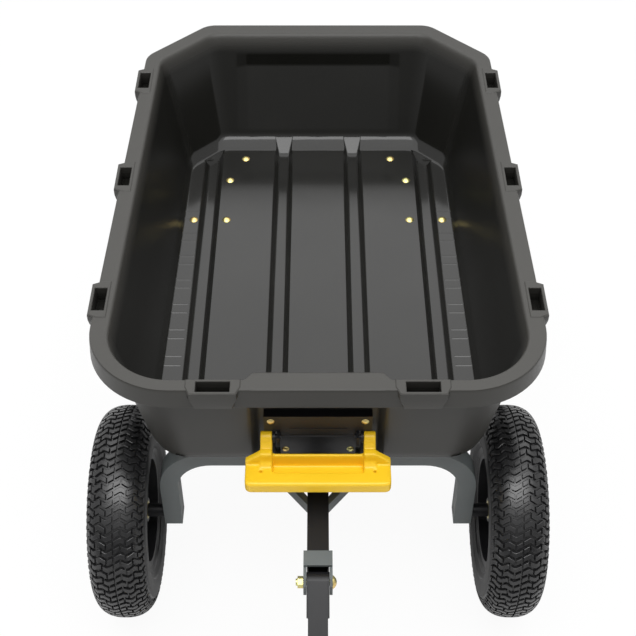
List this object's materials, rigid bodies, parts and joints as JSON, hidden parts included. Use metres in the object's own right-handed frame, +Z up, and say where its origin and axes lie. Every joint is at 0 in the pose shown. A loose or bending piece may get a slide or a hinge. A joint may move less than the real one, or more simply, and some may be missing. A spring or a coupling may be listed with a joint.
{
  "type": "tipping dump cart",
  "caption": "Garden dump cart with a moulded tub that tips on a rear hinge, a yellow release handle, a steered front axle on an arched tube, pneumatic wheels and a swinging pull handle.",
  "frame": {"origin": "on the ground under the middle of the cart's overall box", "axes": "+X to the cart's right hand seen from the tongue's end, +Y from the tongue to the tail, +Z up"},
  "size_m": [0.839, 1.8702, 0.6575],
  "materials": {
    "tub_plastic": "satin",
    "yellow_plastic": "satin",
    "frame_paint": "satin",
    "rim_paint": "gloss",
    "yellow_zinc": "plated",
    "steel": "satin",
    "tyre": "matte",
    "rubber": "matte"
  },
  "bodies": {
    "chassis": {"chassis_rail_left": "frame_paint", "chassis_rail_right": "frame_paint", "front_plate": "frame_paint", "rest_pad": "rubber", "kingpin": "yellow_zinc", "kingpin_nut": "yellow_zinc", "rear_arch": "frame_paint", "rear_stub_axles": "rim_paint", "rear_axle_nuts": "yellow_zinc", "hinge_rod": "steel", "hinge_collars": "yellow_zinc"},
    "tub": {"tub": "tub_plastic", "latch_plate": "rim_paint", "latch_plate_bolts": "yellow_zinc", "latch_plate_nuts": "yellow_zinc", "release_pivot_pins": "rim_paint", "hinge_bracket_left": "frame_paint", "hinge_bracket_right": "frame_paint", "bracket_spacers": "steel", "floor_bolts": "yellow_zinc", "floor_nuts": "yellow_zinc"},
    "release": {"release_handle": "yellow_plastic", "latch_hooks": "rim_paint"},
    "steering": {"front_arch": "frame_paint", "front_stub_axles": "rim_paint", "front_axle_nuts": "yellow_zinc", "turntable_disc": "frame_paint", "tongue_tube": "frame_paint", "tongue_brace_left": "frame_paint", "tongue_brace_right": "frame_paint", "tongue_clevis": "frame_paint", "handle_bolt": "yellow_zinc", "handle_nut": "yellow_zinc"},
    "pull_handle": {"pull_bar": "frame_paint", "pull_yoke": "frame_paint", "tow_plate": "frame_paint", "grip_loop": "frame_paint", "hand_grip": "rubber"},
    "front_left_wheel": {"front_left_tyre": "tyre", "front_left_rim": "rim_paint", "front_left_hub": "rim_paint", "front_left_bearings": "yellow_zinc", "front_left_valve": "rubber"},
    "front_right_wheel": {"front_right_tyre": "tyre", "front_right_rim": "rim_paint", "front_right_hub": "rim_paint", "front_right_bearings": "yellow_zinc", "front_right_valve": "rubber"},
    "rear_left_wheel": {"rear_left_tyre": "tyre", "rear_left_rim": "rim_paint", "rear_left_hub": "rim_paint", "rear_left_bearings": "yellow_zinc", "rear_left_valve": "rubber"},
    "rear_right_wheel": {"rear_right_tyre": "tyre", "rear_right_rim": "rim_paint", "rear_right_hub": "rim_paint", "rear_right_bearings": "yellow_zinc", "rear_right_valve": "rubber"}
  },
  "joints": [
    {"name": "tub_tip", "type": "hinge", "parent": "chassis", "child": "tub", "pos_m": [0, 0.62013, 0.391], "axis": [-1, 0, 0], "range_deg": [0, 75]},
    {"name": "release_pivot", "type": "hinge", "parent": "tub", "child": "release", "pos_m": [0, -0.14195, 0.5], "axis": [-1, 0, 0], "range_deg": [0, 35]},
    {"name": "steering_swivel", "type": "hinge", "parent": "chassis", "child": "steering", "pos_m": [0, -0.07987, 0.4], "axis": [0, 0, 1], "range_deg": [-35, 35]},
    {"name": "pull_handle_swing", "type": "hinge", "parent": "steering", "child": "pull_handle", "pos_m": [0, -0.33587, 0.347], "axis": [-1, 0, 0], "range_deg": [0, 115]},
    {"name": "front_left_wheel_spin", "type": "hinge", "parent": "steering", "child": "front_left_wheel", "pos_m": [-0.365, -0.07987, 0.2032], "axis": [1, 0, 0], "continuous": true},
    {"name": "front_right_wheel_spin", "type": "hinge", "parent": "steering", "child": "front_right_wheel", "pos_m": [0.365, -0.07987, 0.2032], "axis": [1, 0, 0], "continuous": true},
    {"name": "rear_left_wheel_spin", "type": "hinge", "parent": "chassis", "child": "rear_left_wheel", "pos_m": [-0.365, 0.56013, 0.2032], "axis": [1, 0, 0], "continuous": true},
    {"name": "rear_right_wheel_spin", "type": "hinge", "parent": "chassis", "child": "rear_right_wheel", "pos_m": [0.365, 0.56013, 0.2032], "axis": [1, 0, 0], "continuous": true}
  ]
}
